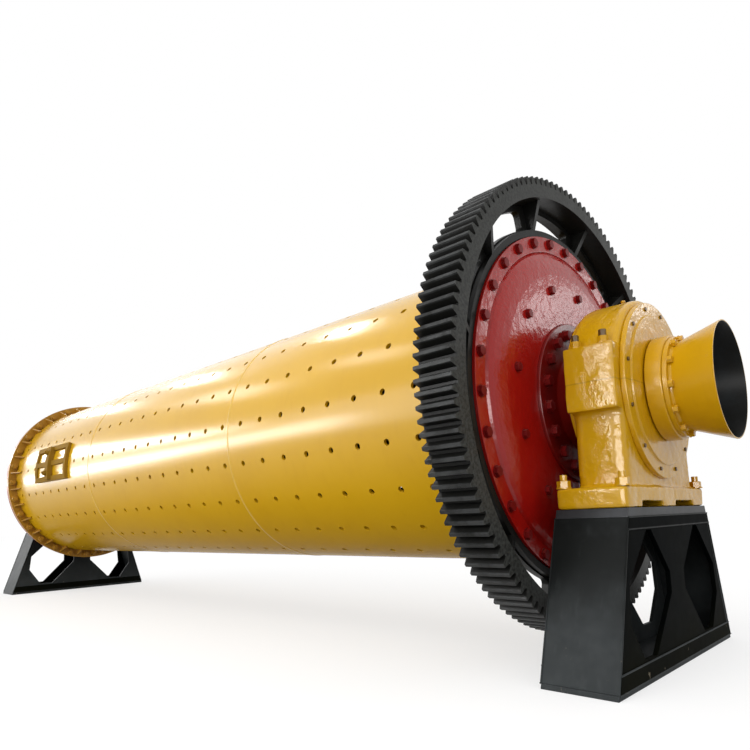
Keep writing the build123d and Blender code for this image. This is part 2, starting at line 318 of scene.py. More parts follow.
@dataclass(frozen=True)
class Enamel:
    """Sprayed gloss enamel, smooth on rolled plate and lumpy on castings."""

    name: str
    colour: Colour
    shade: Colour
    gloss: float = 0.20
    index: float = 1.40
    peel: float = 0.00012
    lumps: float = 0.0
    lump_scale: float = 22.0
    crinkle: float = 0.0
    dust: float = 0.10
    parting: float = 0.0
    coat: float = 0.0

    def material(self) -> bpy.types.Material:
        """Build the material.

        Returns:
            The material.
        """
        g = Graph.of_material(self.name)
        clouds = g.noise(1.3, 3.0, 0.55)
        mottle = g.noise(9.0, 5.0, 0.6)
        runs = g.noise(6.0, 3.0, 0.5, g.squeezed((3.0, 3.0, 0.35)))
        worn = clouds.between(0.35, 0.75) * 0.55 + runs.between(0.5, 0.8) * 0.30
        worn = worn + mottle.between(0.5, 0.8) * 0.15
        colour = g.blend(worn, self.colour, self.shade)
        settled = g.upward().between(0.55, 1.0) * mottle.between(0.3, 0.7) * self.dust
        colour = g.blend(settled, colour, DUST)
        if self.parting:
            above = g.math("ABSOLUTE", g.parts(g.place())[2] - MILL.height)
            colour = g.blend(above.between(self.parting, self.parting / 4) * 0.28, colour, PARTING_SHADE)
        roughness = self.gloss + clouds * 0.10 + settled * 0.9
        normal = g.bump(g.noise(260.0, 2.0, 0.4), self.peel)
        if self.crinkle:
            normal = g.bump(g.noise(52.0, 3.0, 0.6), self.crinkle, 1.0, normal)
        if self.lumps:
            normal = g.bump(g.noise(self.lump_scale, 3.0, 0.55), self.lumps, 1.0, normal)
        inputs = {"Base Color": colour, "Roughness": roughness, "IOR": self.index, "Normal": normal}
        if self.coat:
            inputs["Coat Weight"] = g.upward().between(-0.60, -0.05) * self.coat
            inputs["Coat Roughness"] = self.gloss + 0.04
        return g.surface(inputs)


@dataclass(frozen=True)
class GearPaint:
    """Grey black paint on a cast gear, rubbed lighter on its crests and front face."""

    name: str = "gear_paint"
    colour: Colour = (0.007, 0.007, 0.006)
    rubbed: Colour = (0.050, 0.052, 0.052)
    face: Colour = (0.060, 0.063, 0.058)
    crest_radius: float = 1.334
    root_radius: float = 1.292
    front_x: float = 3.634
    rim_radius: float = 1.20

    def material(self) -> bpy.types.Material:
        """Build the material.

        Returns:
            The material.
        """
        g = Graph.of_material(self.name)
        radius = g.axis_radius()
        along = g.parts(g.place())[0]
        blotch = g.noise(7.0, 5.0, 0.65)
        fine = g.noise(60.0, 3.0, 0.6)
        crest = radius.between(self.crest_radius - 0.004, self.crest_radius) * blotch.between(0.30, 0.62)
        front = along.between(self.front_x - 0.0005, self.front_x + 0.0005)
        front = front * radius.between(self.rim_radius, self.rim_radius + 0.025) * fine.between(0.2, 0.75)
        colour = g.blend(crest * 0.8, self.colour, self.rubbed)
        colour = g.blend(front * 0.85, colour, self.face)
        grease = (1 - crest) * radius.between(self.root_radius + 0.02, self.root_radius)
        roughness = 0.34 + blotch * 0.22 - grease * 0.06 + front * 0.15
        normal = g.bump(fine, 0.0006, 0.6)
        normal = g.bump(g.noise(24.0, 3.0, 0.6), 0.0016, 0.7, normal)
        return g.surface({"Base Color": colour, "Roughness": roughness, "IOR": 1.22, "Normal": normal})


@dataclass(frozen=True)
class PlatePaint:
    """Satin black paint on welded plate, lighter and bluish towards the floor: dust, and a painted reflection
    of the floor.
    """

    name: str = "plate_paint"
    colour: Colour = (0.006, 0.007, 0.0065)
    fade_dust_and_sheen: Colour = (0.048, 0.054, 0.056)
    dust_and_sheen_height: float = 0.60
    index: float = 1.14

    def material(self) -> bpy.types.Material:
        """Build the material.

        Returns:
            The material.
        """
        g = Graph.of_material(self.name)
        up = g.parts(g.place())[2]
        clouds = g.noise(2.2, 4.0, 0.6)
        blotch = g.noise(14.0, 5.0, 0.65)
        streaks = g.noise(9.0, 3.0, 0.6, g.squeezed((2.0, 2.0, 0.25)))
        # Towards the floor: dust, and a painted reflection of the white floor.
        low = up.between(self.dust_and_sheen_height, 0.02) * (0.35 + clouds * 0.9)
        fade_dust_and_sheen = low * 0.75 + clouds.between(0.45, 0.75) * 0.35 + streaks.between(0.55, 0.8) * 0.2
        colour = g.blend(fade_dust_and_sheen.least(1.0), self.colour, self.fade_dust_and_sheen)
        scuffs = blotch.between(0.66, 0.76) * up.between(0.25, 0.05)
        colour = g.blend(scuffs * 0.5, colour, DUST)
        roughness = 0.36 + blotch * 0.18 + low * 0.10
        normal = g.bump(g.noise(180.0, 2.0, 0.5), 0.0003, 0.6)
        normal = g.bump(clouds, 0.004, 0.35, normal)
        inputs = {"Base Color": colour, "Roughness": roughness, "IOR": self.index, "Normal": normal}
        return g.surface(inputs)


@dataclass(frozen=True)
class BareMetal:
    """Bare metal that oil keeps bright."""

    name: str
    colour: Colour
    roughness: float = 0.3

    def material(self) -> bpy.types.Material:
        """Build the material.

        Returns:
            The material.
        """
        g = Graph.of_material(self.name)
        turned = g.noise(400.0, 2.0, 0.5, g.squeezed((1.0, 0.02, 0.02)))
        stain = g.noise(11.0, 4.0, 0.6)
        colour = g.blend(stain.between(0.4, 0.75), self.colour, tuple(0.55 * c for c in self.colour))
        roughness = self.roughness + turned * 0.12 + stain * 0.12
        normal = g.bump(turned, 0.0002, 0.5)
        return g.surface({"Base Color": colour, "Metallic": 1.0, "Roughness": roughness, "Normal": normal})


@dataclass(frozen=True)
class DarkLining:
    """The dark grey inside of the drum and of the spouts."""

    name: str = "dark_lining"
    colour: Colour = (0.006, 0.006, 0.005)
    scale_mark: Colour = (0.012, 0.014, 0.015)

    def material(self) -> bpy.types.Material:
        """Build the material.

        Returns:
            The material.
        """
        g = Graph.of_material(self.name)
        blotch = g.noise(8.0, 5.0, 0.6)
        colour = g.blend(blotch.between(0.4, 0.75), self.colour, self.scale_mark)
        normal = g.bump(g.noise(90.0, 3.0, 0.6), 0.0006, 0.6)
        inputs = {"Base Color": colour, "Roughness": 0.30 + blotch * 0.2, "IOR": 1.16, "Normal": normal}
        return g.surface(inputs)


DUST: Colour = (0.42, 0.36, 0.27)
PARTING_SHADE: Colour = (0.10, 0.055, 0.003)
SHELL_YELLOW = Enamel(
    "shell_yellow", (0.62, 0.350, 0.008), (0.56, 0.305, 0.005), gloss=0.17, index=1.06, coat=1.0
)
SEAM_YELLOW = Enamel("seam_yellow", (0.64, 0.395, 0.034), (0.59, 0.340, 0.022), gloss=0.26)
FLANGE_OCHRE = Enamel(
    "flange_ochre", (0.40, 0.200, 0.018), (0.26, 0.120, 0.010), gloss=0.30, index=1.3, lumps=0.0010
)
MANHOLE_OCHRE = Enamel(
    "manhole_ochre", (0.270, 0.150, 0.018), (0.180, 0.095, 0.010), gloss=0.50, index=1.05, lumps=0.0008
)
BEARING_YELLOW = Enamel(
    "bearing_yellow", (0.60, 0.325, 0.003), (0.50, 0.250, 0.002), gloss=0.13, index=1.42, lumps=0.0060,
    lump_scale=11.0, crinkle=0.0010, parting=0.0060,
)
SPOUT_YELLOW = Enamel("spout_yellow", (0.60, 0.325, 0.003), (0.50, 0.250, 0.002), gloss=0.18, lumps=0.0010)
HEAD_RED = Enamel(
    "head_red", (0.370, 0.0075, 0.0045), (0.300, 0.0045, 0.0030), gloss=0.16, index=1.42, lumps=0.0055,
    lump_scale=13.0, crinkle=0.0004,
)
# A darker copy of the head's red: painted shade for the trunnion, which lies in the shadow of the bearing.
TRUNNION_SHADED_RED = Enamel("trunnion_red", (0.200, 0.0045, 0.0032), (0.120, 0.003, 0.002), lumps=0.0010)
# A darker copy of the head's red: partly dirt, partly painted shade, for bolts that reflect less light than
# the flange round them.
BOLT_DIRT_AND_SHADE_RED = Enamel("bolt_dirt_and_shade_red", (0.180, 0.0060, 0.0055), (0.120, 0.0040, 0.0040), gloss=0.30, index=1.2)
DARK_NUT = Enamel("dark_nut", (0.12, 0.060, 0.006), (0.05, 0.028, 0.005), gloss=0.30)
GEAR_PAINT = GearPaint()
PLATE_PAINT = PlatePaint()
# Paler and bluer than the plate paint: its faded colour is a painted glint of the windows on the top plate.
EDGE_GLINT_PAINT = PlatePaint("edge_glint_paint", (0.012, 0.013, 0.014), (0.070, 0.080, 0.095), 0.60, 1.35)
FRONT_PAINT = PlatePaint("front_paint", (0.0016, 0.0022, 0.0022), (0.0070, 0.0072, 0.0040), 0.30, 1.04)
BUSH_METAL = BareMetal("bush_metal", (0.55, 0.42, 0.20))
DARK_LINING = DarkLining()

Finish = Enamel | GearPaint | PlatePaint | BareMetal | DarkLining
_materials: dict[str, bpy.types.Material] = {}


def painted(finish: Finish) -> bpy.types.Material:
    """The material of a finish, which is built once.

    Args:
        finish: The finish.

    Returns:
        Its material.
    """
    if finish.name not in _materials:
        _materials[finish.name] = finish.material()
    return _materials[finish.name]


def round_off(
    mesh: bmesh.types.BMesh, geom: list, width: float, segments: int, affect: str = "EDGES"
) -> None:
    """Round edges or corners of a mesh.

    Args:
        mesh: The mesh.
        geom: Its edges or corners.
        width: How far each is cut back.
        segments: How many faces each gets.
        affect: EDGES, or VERTICES for the corners of a flat outline.
    """
    bmesh.ops.bevel(
        mesh, geom=geom, offset=width, offset_type="OFFSET", segments=segments, profile=0.5, affect=affect,
        clamp_overlap=True, material=-1,
    )


def add_bar(
    mesh: bmesh.types.BMesh, radius: float, depth: float, place: Matrix, sides: int, taper: float = 1.0
) -> None:
    """Add a closed bar to a mesh.

    Args:
        mesh: The mesh.
        radius: The bar's radius at its lower end, to its corners.
        depth: Its length.
        place: Where its middle goes, with its length along Z.
        sides: How many sides it has.
        taper: How large its upper end is against its lower end.
    """
    bmesh.ops.create_cone(
        mesh, cap_ends=True, segments=sides, radius1=radius, radius2=radius * taper, depth=depth, matrix=place
    )


class Piece:
    """A mesh in the making, in the mill's frame."""

    def __init__(self) -> None:
        """Start an empty mesh."""
        self.bm = bmesh.new()

    @classmethod
    def of_nodes(cls, *nodes: str) -> "Piece":
        """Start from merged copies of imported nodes, with their flat faces joined up.

        Args:
            nodes: The nodes' names.

        Returns:
            The new piece.
        """
        piece = cls()
        for name in nodes:
            piece.bm.from_mesh(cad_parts[name].data)
        bmesh.ops.remove_doubles(piece.bm, verts=piece.bm.verts, dist=MERGE_DISTANCE)
        bmesh.ops.dissolve_limit(
            piece.bm, angle_limit=FLAT_ANGLE, use_dissolve_boundaries=False, verts=piece.bm.verts,
            edges=piece.bm.edges,
        )
        return piece

    def turned(self, profile: Profile, steps: int, rounding: float, segments: int = 2) -> "Piece":
        """Spin a closed outline round the mill axis.

        Args:
            profile: The outline's corners as (x, radius).
            steps: How many steps the full turn takes.
            rounding: How far each corner is cut back and rounded.
            segments: How many faces a rounded corner has.

        Returns:
            This piece.
        """
        outline = bmesh.new()
        corners = [outline.verts.new((x, 0.0, MILL.height + radius)) for x, radius in profile]
        outline.faces.new(corners)
        round_off(outline, corners, rounding, segments, "VERTICES")
        bmesh.ops.delete(outline, geom=list(outline.faces), context="FACES_ONLY")
        bmesh.ops.spin(
            outline, geom=list(outline.edges) + list(outline.verts), cent=MILL.centre, axis=X_AXIS,
            dvec=(0, 0, 0), angle=FULL_TURN, steps=steps, use_merge=True,
        )
        bmesh.ops.remove_doubles(outline, verts=outline.verts, dist=MERGE_DISTANCE)
        bmesh.ops.recalc_face_normals(outline, faces=outline.faces)
        return self.add(outline)

    def add(self, other: bmesh.types.BMesh, places: Iterable[Matrix] = (Matrix.Identity(4),)) -> "Piece":
        """Add copies of another mesh, which is then freed.

        Args:
            other: The mesh.
            places: Where each copy goes; on a piece that was rounded before, only the default.

        Returns:
            This piece.
        """
        template = bpy.data.meshes.new("template")
        other.to_mesh(template)
        other.free()
        for place in places:
            before = len(self.bm.verts)
            self.bm.from_mesh(template)
            self.bm.verts.ensure_lookup_table()
            bmesh.ops.transform(self.bm, matrix=place, verts=self.bm.verts[before:])
        bpy.data.meshes.remove(template)
        return self

    def softened(self, width: float, segments: int = 2) -> "Piece":
        """Round the sharp edges.

        Args:
            width: How far each edge is cut back.
            segments: How many faces a rounded edge has.

        Returns:
            This piece.
        """
        sharp = [e for e in self.bm.edges if len(e.link_faces) == 2 and e.calc_face_angle() > SHARP_ANGLE]
        round_off(self.bm, sharp, width, segments)
        return self

    def recast(self, voxel: float, rounds: int, lump: float) -> "Piece":
        """Rebuild the surface from small even faces, with filleted corners and shallow lumps.

        Args:
            voxel: The size of the faces.
            rounds: How often the surface is smoothed, which sets how large the fillets are.
            lump: How far the surface wanders.

        Returns:
            This piece.
        """
        mesh = bpy.data.meshes.new("rough")
        self.bm.to_mesh(mesh)
        rough = bpy.data.objects.new("rough", mesh)
        bpy.context.scene.collection.objects.link(rough)
        remesh = rough.modifiers.new("cast", "REMESH")
        remesh.mode = "VOXEL"
        remesh.voxel_size = voxel
        rough.modifiers.new("fillets", "SMOOTH").iterations = rounds
        cast = bpy.data.meshes.new_from_object(rough.evaluated_get(bpy.context.evaluated_depsgraph_get()))
        self.bm.clear()
        self.bm.from_mesh(cast)
        self.bm.normal_update()
        for vert in self.bm.verts:
            wave = sum(weight * noise.noise(vert.co * scale) for scale, weight in CAST_WAVES)
            vert.co += vert.normal * (wave * lump)
        bpy.data.objects.remove(rough)
        bpy.data.meshes.remove(mesh)
        bpy.data.meshes.remove(cast)
        return self

    def lined(self, hidden: Callable[[float, float], bool]) -> "Piece":
        """Give the faces on the inside the second finish.

        Args:
            hidden: Takes how far a face looks away from the mill axis, and its distance from
                the middle of the mill, and says whether the face is on the inside.

        Returns:
            This piece.
        """
        for face in self.bm.faces:
            middle = face.calc_center_median()
            face.material_index = int(hidden(face.normal.dot(MILL.outward(middle)), abs(middle.x)))
        return self

    def mirrored(self, end: End) -> "Piece":
        """Turn a drive end piece into its mirror image for the feed end.

        Args:
            end: The end that the piece is for.

        Returns:
            This piece.
        """
        if end is End.FEED:
            bmesh.ops.scale(self.bm, vec=(-1, 1, 1), verts=self.bm.verts)
            bmesh.ops.reverse_faces(self.bm, faces=self.bm.faces)
        return self

    def finish(
        self, name: str, finishes: Sequence[Finish], body: Body, slot: str, replaces: Sequence[str] = (),
        weighted: bool = True,
    ) -> bpy.types.Object:
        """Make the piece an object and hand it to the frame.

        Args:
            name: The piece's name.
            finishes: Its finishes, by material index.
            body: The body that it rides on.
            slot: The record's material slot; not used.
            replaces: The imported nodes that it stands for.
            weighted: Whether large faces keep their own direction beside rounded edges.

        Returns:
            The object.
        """
        mesh = bpy.data.meshes.new(name)
        self.bm.to_mesh(mesh)
        self.bm.free()
        mesh.shade_smooth()
        mesh.set_sharp_from_angle(angle=SHARP_ANGLE)
        for finish in finishes:
            mesh.materials.append(painted(finish))
        made = bpy.data.objects.new(name, mesh)
        bpy.context.scene.collection.objects.link(made)
        if weighted:
            made.modifiers.new("weighted", "WEIGHTED_NORMAL").keep_sharp = True
        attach(made, body.value)
        if replaces:
            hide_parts(*replaces)
        log.info("%s: %d faces on %s", name, len(mesh.polygons), body.value)
        return made


def round_axis(degrees: float, place: Matrix) -> Matrix:
    """Turn a place about the mill axis.

    Args:
        degrees: The angle from +Y towards +Z.
        place: The place as it is at +Y, measured from the axis.

    Returns:
        The turned place in the mill's frame.
    """
    return Matrix.Translation(MILL.centre) @ Matrix.Rotation(math.radians(degrees), 4, "X") @ place


@dataclass(frozen=True)
class Bolt:
    """A hexagon head or nut on a washer, with its stud's end, drawn along +Z from its seat."""

    across: float
    height: float
    washer: float = 0.0
    stud: float = 0.0

    def mesh(self) -> bmesh.types.BMesh:
        """Draw the bolt.

        Returns:
            The bolt's mesh.
        """
        bm = bmesh.new()
        corner = self.across / math.sqrt(3)
        top = self.washer + self.height
        if self.washer:
            add_bar(bm, corner * 1.12, self.washer, Matrix.Translation((0, 0, self.washer / 2)), 20)
        add_bar(bm, corner, self.height, Matrix.Translation((0, 0, self.washer + self.height / 2)), 6)
        crown = [e for e in bm.edges if min(v.co.z for v in e.verts) > top - MERGE_DISTANCE]
        round_off(bm, crown, self.across * 0.07, 2)
        if self.stud:
            add_bar(bm, self.across * 0.31, self.stud, Matrix.Translation((0, 0, top + self.stud / 2)), 12)
        return bm


@dataclass(frozen=True)
class BoltRing:
    """Like bolts in a ring about the mill axis, the first at an angle in degrees from +Y."""

    bolt: Bolt
    radius: float
    count: int
    first: float
    seed: int

    def placed(self, x: float, facing: int = 1) -> tuple[bmesh.types.BMesh, list[Matrix]]:
        """Draw the bolt and place it round the ring.

        Args:
            x: Where the bolts sit along the mill.
            facing: 1 to face +X and -1 to face -X.

        Returns:
            One bolt, and where each copy of it goes.
        """
        draw = random.Random(self.seed)
        seat = Matrix.Translation((x, self.radius, 0)) @ Matrix.Rotation(facing * math.pi / 2, 4, "Y")
        places = []
        for k in range(self.count):
            spun = Matrix.Rotation(draw.uniform(0, math.pi / 3), 4, "Z")
            places.append(round_axis(self.first + k * 360 / self.count, seat @ spun))
        return self.bolt.mesh(), places


@dataclass(frozen=True)
class Shell:
    """The rolled shell: three cans with rows of liner bolt holes and two welded seams."""

    plate: float = 0.022
    hole_radius: float = 0.021
    hole_pitch: float = 0.236
    rows: int = 20
    stations: int = 29
    first_station: float = 0.138
    row_angle: float = 193.3
    cell_steps: int = 5
    manhole_half_length: float = 0.365
    manhole_half_arc: float = 6.8
    hole_gap: float = 0.13
    hole_gap_arc: float = 4.0
    seam_width: float = 0.022
    seam_height: float = 0.003
    seam_sink: float = 0.002
    steps: int = 128

    @property
    def row_width(self) -> float:
        """How far two rows of holes are apart round the shell."""
        return FULL_TURN * MILL.shell_radius / self.rows

    def cell(self, holed: bool) -> bmesh.types.BMesh:
        """One flat cell of the unrolled shell, X along the mill and Y round it.

        Args:
            holed: Whether it has a liner bolt hole in its middle.

        Returns:
            The cell.
        """
        bm = bmesh.new()
        scale = Matrix.Diagonal((self.hole_pitch, self.row_width, 1, 1))
        steps = self.cell_steps
        bmesh.ops.create_grid(bm, x_segments=steps, y_segments=steps, size=0.5, matrix=scale)
        if not holed:
            return bm
        reach_x = self.hole_pitch * (0.5 - 1 / steps)
        reach_y = self.row_width * (0.5 - 1 / steps)
        inside = [f for f in bm.faces if self._within(f.calc_center_median(), reach_x, reach_y)]
        bmesh.ops.delete(bm, geom=inside, context="FACES")
        rim = [e for e in bm.edges if e.is_boundary]
        rim = [e for e in rim if all(self._within(v.co, reach_x, reach_y) for v in e.verts)]
        step = 90 / (steps - 2)
        for radius in (2 * self.hole_radius, self.hole_radius):
            grown = bmesh.ops.extrude_edge_only(bm, edges=rim)["geom"]
            rim = [e for e in grown if isinstance(e, bmesh.types.BMEdge)]
            for vert in {v for e in rim for v in e.verts}:
                angle = math.degrees(math.atan2(vert.co.y / reach_y, vert.co.x / reach_x))
                angle = math.radians((round(angle / step - 0.5) + 0.5) * step)
                vert.co = radius * Vector((math.cos(angle), math.sin(angle), 0))
        bmesh.ops.recalc_face_normals(bm, faces=bm.faces)
        if sum(f.normal.z for f in bm.faces) < 0:
            bmesh.ops.reverse_faces(bm, faces=bm.faces)
        return bm

    @staticmethod
    def _within(point: Vector, reach_x: float, reach_y: float) -> bool:
        """Whether a point of a cell lies within a rectangle round its middle."""
        return abs(point.x) < reach_x + MERGE_DISTANCE and abs(point.y) < reach_y + MERGE_DISTANCE

    def on_manhole(self, x: float, angle: float) -> bool:
        """Whether a hole there would run into the manhole.

        Args:
            x: Where the hole is along the mill.
            angle: Its angle from +Y, in degrees.

        Returns:
            True where the shell stays whole.
        """
        near_along = abs(x - MANHOLE_X) < self.manhole_half_length + self.hole_gap
        off = abs((angle - MANHOLE_TURN + 180) % 360 - 180)
        return near_along and off < self.manhole_half_arc + self.hole_gap_arc

    def flat_sheet(self) -> Piece:
        """The unrolled shell, with its rows of holes.

        Returns:
            The flat sheet.
        """
        holed = []
        plain = []
        for row in range(self.rows):
            for station in range(self.stations):
                x = MILL.drive_shell_end - self.first_station - station * self.hole_pitch
                whole = self.on_manhole(x, self.row_angle + row * 360 / self.rows)
                (plain if whole else holed).append(Matrix.Translation((x, row * self.row_width, 0)))
        sheet = Piece().add(self.cell(True), holed).add(self.cell(False), plain)
        bmesh.ops.remove_doubles(sheet.bm, verts=sheet.bm.verts, dist=MERGE_DISTANCE)
        first = max(v.co.x for v in sheet.bm.verts)
        last = min(v.co.x for v in sheet.bm.verts)
        for vert in sheet.bm.verts:
            if vert.co.x > first - MERGE_DISTANCE:
                vert.co.x = MILL.drive_shell_end
            elif vert.co.x < last + MERGE_DISTANCE:
                vert.co.x = MILL.feed_shell_end
        return sheet

    def cut_manhole(self, sheet: Piece) -> None:
        """Cut the manhole's opening out of the unrolled shell.

        Args:
            sheet: The unrolled shell.
        """
        turn = (MANHOLE_TURN - self.row_angle) % 360
        middle = Vector((MANHOLE_X, math.radians(turn) * MILL.shell_radius, 0))
        half_width = math.radians(self.manhole_half_arc) * MILL.shell_radius
        half = Vector((self.manhole_half_length, half_width, 0))
        for axis in (0, 1):
            for side in (-1, 1):
                near = [f for f in sheet.bm.faces if (f.calc_center_median() - middle).length < 2 * half.x]
                geom = near + list({e for f in near for e in f.edges})
                geom += list({v for f in near for v in f.verts})
                point = middle.copy()
                point[axis] += side * half[axis]
                normal = Vector((axis == 0, axis == 1, 0))
                bmesh.ops.bisect_plane(
                    sheet.bm, geom=geom, dist=MERGE_DISTANCE, plane_co=point, plane_no=normal
                )
        offs = {face: face.calc_center_median() - middle for face in sheet.bm.faces}
        inside = [face for face, off in offs.items() if abs(off.x) < half.x and abs(off.y) < half.y]
        bmesh.ops.delete(sheet.bm, geom=inside, context="FACES")

    def rolled(self, sheet: Piece) -> None:
        """Roll the flat sheet round the mill axis and give it the plate's thickness.

        Args:
            sheet: The unrolled shell.
        """
        for vert in sheet.bm.verts:
            angle = vert.co.y / MILL.shell_radius + math.radians(self.row_angle)
            across = MILL.shell_radius * math.cos(angle)
            vert.co = Vector((vert.co.x, across, MILL.height + MILL.shell_radius * math.sin(angle)))
        bmesh.ops.remove_doubles(sheet.bm, verts=sheet.bm.verts, dist=10 * MERGE_DISTANCE)
        if sum(f.normal.dot(MILL.outward(f.calc_center_median())) for f in sheet.bm.faces) < 0:
            bmesh.ops.reverse_faces(sheet.bm, faces=sheet.bm.faces)
        bmesh.ops.solidify(sheet.bm, geom=list(sheet.bm.faces), thickness=self.plate)
        for vert in sheet.bm.verts:
            out = MILL.outward(vert.co)
            radius = (vert.co - MILL.centre).dot(out)
            outer = radius > MILL.shell_radius - self.plate / 2
            vert.co += out * (MILL.shell_radius - (0 if outer else self.plate) - radius)

    def smooth_outside(self, mesh: bpy.types.Mesh) -> None:
        """Point the normals of the rolled faces straight out from the axis.

        Args:
            mesh: The rolled shell.
        """
        normals = [Vector((0, 0, 0))] * len(mesh.loops)
        for face in mesh.polygons:
            side = face.normal.dot(MILL.outward(face.center))
            if abs(side) > 0.9:
                for loop in face.loop_indices:
                    point = mesh.vertices[mesh.loops[loop].vertex_index].co
                    normals[loop] = MILL.outward(point) * math.copysign(1.0, side)
        mesh.normals_split_custom_set(normals)

    def seams(self) -> Piece:
        """The weld beads where the cans meet.

        Returns:
            The piece with both beads.
        """
        seams = Piece()
        half = self.seam_width / 2
        low = MILL.shell_radius - self.seam_sink
        level = MILL.shell_radius
        high = MILL.shell_radius + self.seam_height
        for x in (-MILL.seam_x, MILL.seam_x):
            bead = [(x - half, low), (x + half, low), (x + half, level)]
            bead += [(x + half / 2, high), (x - half / 2, high), (x - half, level)]
            seams.turned(bead, self.steps, self.seam_height / 3)
        return seams

    def build(self) -> None:
        """Build the shell and its seams."""
        sheet = self.flat_sheet()
        self.cut_manhole(sheet)
        self.rolled(sheet)
        cans = ("feed_shell_can", "middle_shell_can", "drive_shell_can")
        shell = sheet.lined(lambda out, x: out < -0.5).finish(
            "shell_plate", (SHELL_YELLOW, DARK_LINING), Body.DRUM, "shell_yellow", cans, False
        )
        self.smooth_outside(shell.data)
        self.seams().finish("shell_weld_seams", (SEAM_YELLOW,), Body.DRUM, "shell_yellow")


@dataclass(frozen=True)
class Manhole:
    """The manhole's frame, cover and cross bars, and the clamp bar that holds the cover."""

    rounding: float = 0.004
    clamp_half_width: float = 0.046
    clamp_half_arc: float = 10.8
    clamp_low: float = 0.032
    clamp_high: float = 0.070
    clamp_steps: int = 10
    nut_turn: float = 6.5
    nut: Bolt = Bolt(across=0.046, height=0.024, washer=0.005, stud=0.014)

    def clamp(self) -> None:
        """The proud clamp bar across the middle of the cover, and its two nuts."""
        bm = bmesh.new()
        low = MILL.shell_radius + self.clamp_low
        high = MILL.shell_radius + self.clamp_high
        half = self.clamp_half_width
        corners = ((-half, low), (half, low), (half, high), (-half, high))
        bm.faces.new([bm.verts.new((x, radius, 0)) for x, radius in corners])
        bmesh.ops.spin(
            bm, geom=[*bm.faces, *bm.edges, *bm.verts], cent=(0, 0, 0), axis=X_AXIS, dvec=(0, 0, 0),
            angle=math.radians(2 * self.clamp_half_arc), steps=self.clamp_steps, use_merge=False,
        )
        bmesh.ops.recalc_face_normals(bm, faces=bm.faces)
        start = round_axis(MANHOLE_TURN - self.clamp_half_arc, Matrix.Translation((MANHOLE_X, 0, 0)))
        bar = Piece().add(bm, [start]).softened(self.rounding)
        seat = Matrix.Translation((MANHOLE_X, high, 0)) @ Matrix.Rotation(-math.pi / 2, 4, "X")
        seats = [round_axis(MANHOLE_TURN + side * self.nut_turn, seat) for side in (-1, 1)]
        piece = Piece().add(self.nut.mesh(), seats).add(bar.bm)
        piece.finish("manhole_clamp_bar", (MANHOLE_OCHRE,), Body.DRUM, "manhole_ochre")

    def build(self) -> None:
        """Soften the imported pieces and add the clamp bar."""
        self.clamp()
        for name in ("manhole_frame", "manhole_cover", "manhole_cross_bars"):
            finish = SHELL_YELLOW if name == "manhole_cover" else MANHOLE_OCHRE
            piece = Piece.of_nodes(name).softened(self.rounding)
            piece.finish(f"{name}_plate", (finish,), Body.DRUM, "manhole_ochre", (name,))


@dataclass(frozen=True)
class GirthGear:
    """The girth gear's two toothed halves and the bolts at their joints."""

    tooth_rounding: float = 0.0022
    joint_angle: float = 15.9
    joint_bolt: Bolt = Bolt(across=0.046, height=0.022, washer=0.004, stud=0.012)
    joint_rib_half: float = 0.039
    joint_seats: Profile = ((3.532, 1.115), (3.560, 1.185))

    def build(self) -> None:
        """Build both halves, and four bolts through each pair of joint ribs."""
        for half in ("a", "b"):
            node = f"girth_gear_half_{half}"
            piece = Piece.of_nodes(node).softened(self.tooth_rounding)
            piece.finish(f"gear_half_{half}", (GEAR_PAINT,), Body.DRUM, "gear_black", (node,))
        places = []
        for turn in (0, 180):
            for side in (-1, 1):
                facing = Matrix.Rotation(-side * math.pi / 2, 4, "X")
                for x, radius in self.joint_seats:
                    seat = Matrix.Translation((x, radius, side * self.joint_rib_half)) @ facing
                    places.append(round_axis(self.joint_angle + turn, seat))
        bolts = Piece().add(self.joint_bolt.mesh(), places)
        bolts.finish("gear_joint_bolts", (GEAR_PAINT,), Body.DRUM, "gear_black")


